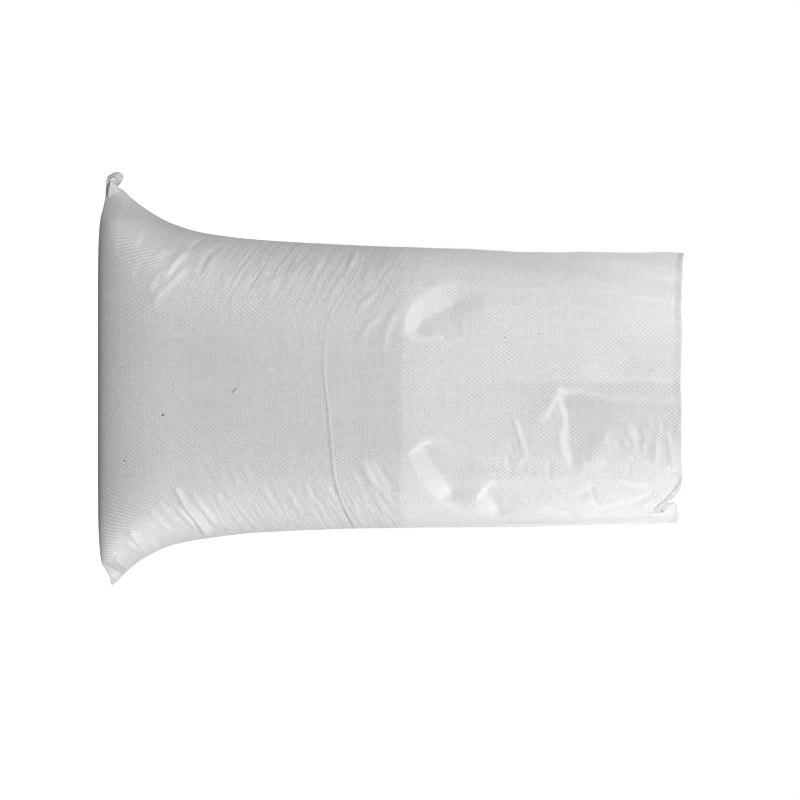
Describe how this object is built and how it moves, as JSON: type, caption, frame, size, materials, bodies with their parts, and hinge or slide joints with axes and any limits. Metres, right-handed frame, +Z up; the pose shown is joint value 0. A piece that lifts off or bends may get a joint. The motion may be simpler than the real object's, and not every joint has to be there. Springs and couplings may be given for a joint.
{
  "type": "cement bag",
  "caption": "Open woven sack standing on its sewn base with pointed bottom corners, part filled with cement powder, its empty top open.",
  "frame": {"origin": "on the floor, at the middle of the bag's outer box", "axes": "+Z up from the sewn base to the open mouth, +X towards one bottom ear, -Y towards the front"},
  "size_m": [0.413, 0.2962, 0.574],
  "materials": {
    "woven_fabric": "white woven polypropylene tape, slightly glossy",
    "cement_powder": "dry grey powder, matt",
    "thread": "off-white spun sewing thread"
  },
  "bodies": {
    "root": {"woven_sack": "woven_fabric", "cement_fill": "cement_powder", "bottom_stitching": "thread"}
  },
  "joints": []
}
